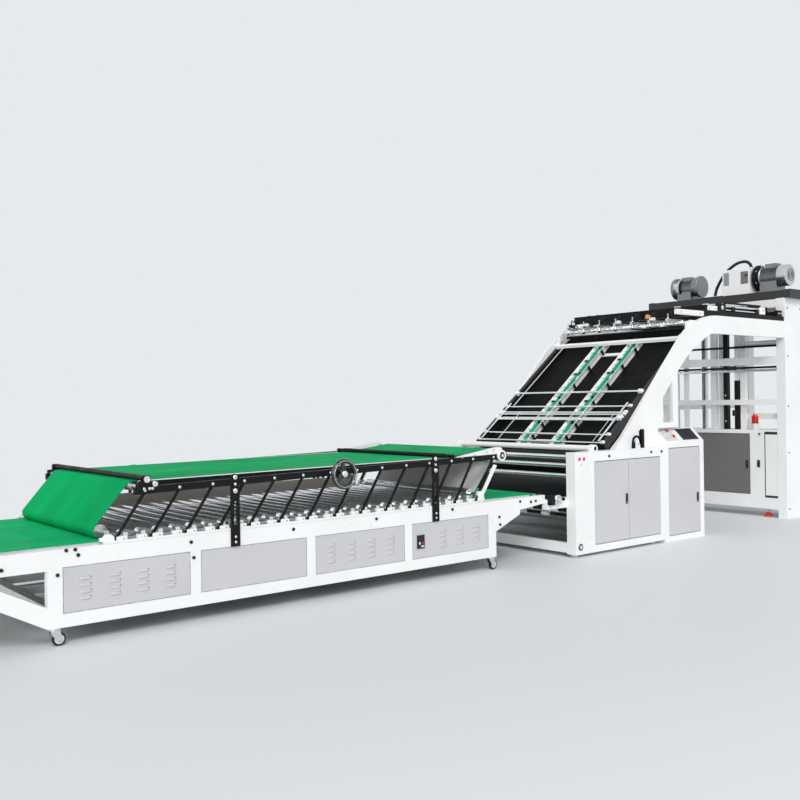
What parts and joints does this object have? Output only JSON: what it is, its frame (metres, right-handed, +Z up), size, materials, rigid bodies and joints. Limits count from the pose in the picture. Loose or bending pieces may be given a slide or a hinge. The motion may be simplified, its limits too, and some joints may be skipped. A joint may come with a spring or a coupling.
{
  "type": "flute laminating machine",
  "caption": "Paper laminating line with a belt press conveyor, a gluing unit under a sloping sheet table, and a feeder tower.",
  "frame": {"origin": "on the floor, at the middle of the machine's overall length and width", "axes": "+X runs along the line from the delivery press to the feeder tower, the operator side faces -Y, +Z is up"},
  "size_m": [12.53, 2.168, 3.4299],
  "materials": {
    "black_paint": "satin enamel",
    "black_rubber": "matt rubber",
    "board_black": "matt enamel",
    "dark_sheet": "fine textured enamel",
    "green_belt": "smooth PVC belt",
    "grey_sheet": "fine textured enamel",
    "motor_grey": "painted casting",
    "red_lamp": "clear moulded plastic",
    "roller_steel": "ground steel",
    "white_paint": "satin enamel"
  },
  "bodies": {
    "root": {"arch_wall_far": "white_paint", "arch_wall_near": "white_paint", "beacon": "red_lamp", "blower_motor": "motor_grey", "control_cabinet": "white_paint", "drive_cabinet": "white_paint", "drive_motor": "motor_grey", "entry_rods": "roller_steel", "feeder_carriage": "black_paint", "feeder_head": "roller_steel", "glue_roller": "roller_steel", "glue_tray": "roller_steel", "guide_bar_left": "black_paint", "guide_bar_right": "black_paint", "incline_belt_far": "green_belt", "incline_belt_near": "green_belt", "incline_board": "board_black", "incline_channels": "white_paint", "incline_rods": "roller_steel", "lower_belt": "green_belt", "lower_belt_bed": "roller_steel", "lower_belt_roller_left": "roller_steel", "lower_belt_roller_right": "roller_steel", "nip_roller": "black_rubber", "press_crossmembers": "white_paint", "press_frame_far": "white_paint", "press_frame_near": "white_paint", "press_panels_far": "grey_sheet", "press_panels_near": "grey_sheet", "press_rollers": "roller_steel", "tower_cabinet": "white_paint", "tower_deck": "grey_sheet", "tower_side_far": "white_paint", "tower_side_near": "white_paint", "unit_base": "white_paint", "unit_cover_far": "white_paint", "unit_cover_near": "white_paint", "upper_belt": "green_belt", "upper_frame_far": "black_paint", "upper_frame_near": "black_paint", "upper_roller_end": "roller_steel", "upper_roller_foot": "roller_steel", "upper_roller_heel": "roller_steel", "upper_roller_nose": "roller_steel", "vacuum_hose": "black_rubber", "vacuum_pump": "white_paint"},
    "unit_door_left": {"unit_door_left": "grey_sheet"},
    "unit_door_right": {"unit_door_right": "grey_sheet"},
    "control_door": {"control_door": "grey_sheet"},
    "tower_door": {"tower_door": "dark_sheet"},
    "handwheel": {"handwheel": "black_paint"},
    "caster_near_left": {"caster_fork_near_left": "roller_steel"},
    "wheel_near_left": {"caster_wheel_near_left": "black_rubber"},
    "caster_far_left": {"caster_fork_far_left": "roller_steel"},
    "wheel_far_left": {"caster_wheel_far_left": "black_rubber"},
    "caster_near_right": {"caster_fork_near_right": "roller_steel"},
    "wheel_near_right": {"caster_wheel_near_right": "black_rubber"},
    "caster_far_right": {"caster_fork_far_right": "roller_steel"},
    "wheel_far_right": {"caster_wheel_far_right": "black_rubber"}
  },
  "joints": [
    {"name": "unit_door_left_hinge", "type": "hinge", "parent": "root", "child": "unit_door_left", "pos_m": [-0.154, -1.072, 0.5], "axis": [0, 0, -1], "range_deg": [0, 100]},
    {"name": "unit_door_right_hinge", "type": "hinge", "parent": "root", "child": "unit_door_right", "pos_m": [0.934, -1.072, 0.5], "axis": [0, 0, 1], "range_deg": [0, 90]},
    {"name": "control_door_hinge", "type": "hinge", "parent": "root", "child": "control_door", "pos_m": [1.111, -1.072, 0.5], "axis": [0, 0, -1], "range_deg": [0, 90]},
    {"name": "tower_door_hinge", "type": "hinge", "parent": "root", "child": "tower_door", "pos_m": [3.769, 0.329, 0.7], "axis": [0, 0, -1], "range_deg": [0, 100]},
    {"name": "handwheel_turn", "type": "hinge", "parent": "root", "child": "handwheel", "pos_m": [-3.238, -1.02, 1.008], "axis": [0, 1, 0], "continuous": true},
    {"name": "caster_near_left_swivel", "type": "hinge", "parent": "root", "child": "caster_near_left", "pos_m": [-5.535, -0.91, 0.1197], "axis": [0, 0, 1], "continuous": true},
    {"name": "wheel_near_left_roll", "type": "hinge", "parent": "caster_near_left", "child": "wheel_near_left", "pos_m": [-5.507, -0.91, 0.045], "axis": [0, 1, 0], "continuous": true},
    {"name": "caster_far_left_swivel", "type": "hinge", "parent": "root", "child": "caster_far_left", "pos_m": [-5.535, 0.91, 0.1197], "axis": [0, 0, 1], "continuous": true},
    {"name": "wheel_far_left_roll", "type": "hinge", "parent": "caster_far_left", "child": "wheel_far_left", "pos_m": [-5.507, 0.91, 0.045], "axis": [0, 1, 0], "continuous": true},
    {"name": "caster_near_right_swivel", "type": "hinge", "parent": "root", "child": "caster_near_right", "pos_m": [-1.491, -0.91, 0.1197], "axis": [0, 0, 1], "continuous": true},
    {"name": "wheel_near_right_roll", "type": "hinge", "parent": "caster_near_right", "child": "wheel_near_right", "pos_m": [-1.463, -0.91, 0.045], "axis": [0, 1, 0], "continuous": true},
    {"name": "caster_far_right_swivel", "type": "hinge", "parent": "root", "child": "caster_far_right", "pos_m": [-1.491, 0.91, 0.1197], "axis": [0, 0, 1], "continuous": true},
    {"name": "wheel_far_right_roll", "type": "hinge", "parent": "caster_far_right", "child": "wheel_far_right", "pos_m": [-1.463, 0.91, 0.045], "axis": [0, 1, 0], "continuous": true}
  ]
}
